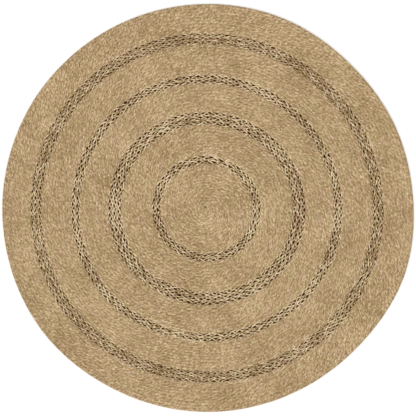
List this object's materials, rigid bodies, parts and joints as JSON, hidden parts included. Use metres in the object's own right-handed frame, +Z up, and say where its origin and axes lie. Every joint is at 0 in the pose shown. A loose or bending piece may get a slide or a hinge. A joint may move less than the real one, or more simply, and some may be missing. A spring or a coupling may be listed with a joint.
{
  "type": "round seagrass rug",
  "caption": "Flat round rug of seagrass, wound in close coils of twisted cord with openwork rings of slack plait between them.",
  "frame": {"origin": "middle of the rug's outline box, on its underside", "axes": "+Z up, out of the face of the rug; +X to the right and +Y away, seen from above"},
  "size_m": [1.2054, 1.1942, 0.008],
  "materials": {
    "seagrass_coil": "dry twisted seagrass cord, matt with a faint straw sheen",
    "seagrass_openwork": "dry seagrass in a slack plait, with dark holes between the strands"
  },
  "bodies": {
    "root": {"coil_centre": "seagrass_coil", "openwork_1": "seagrass_openwork", "coil_1": "seagrass_coil", "openwork_2": "seagrass_openwork", "coil_2": "seagrass_coil", "openwork_3": "seagrass_openwork", "coil_3": "seagrass_coil", "openwork_4": "seagrass_openwork", "coil_4": "seagrass_coil"}
  },
  "joints": []
}
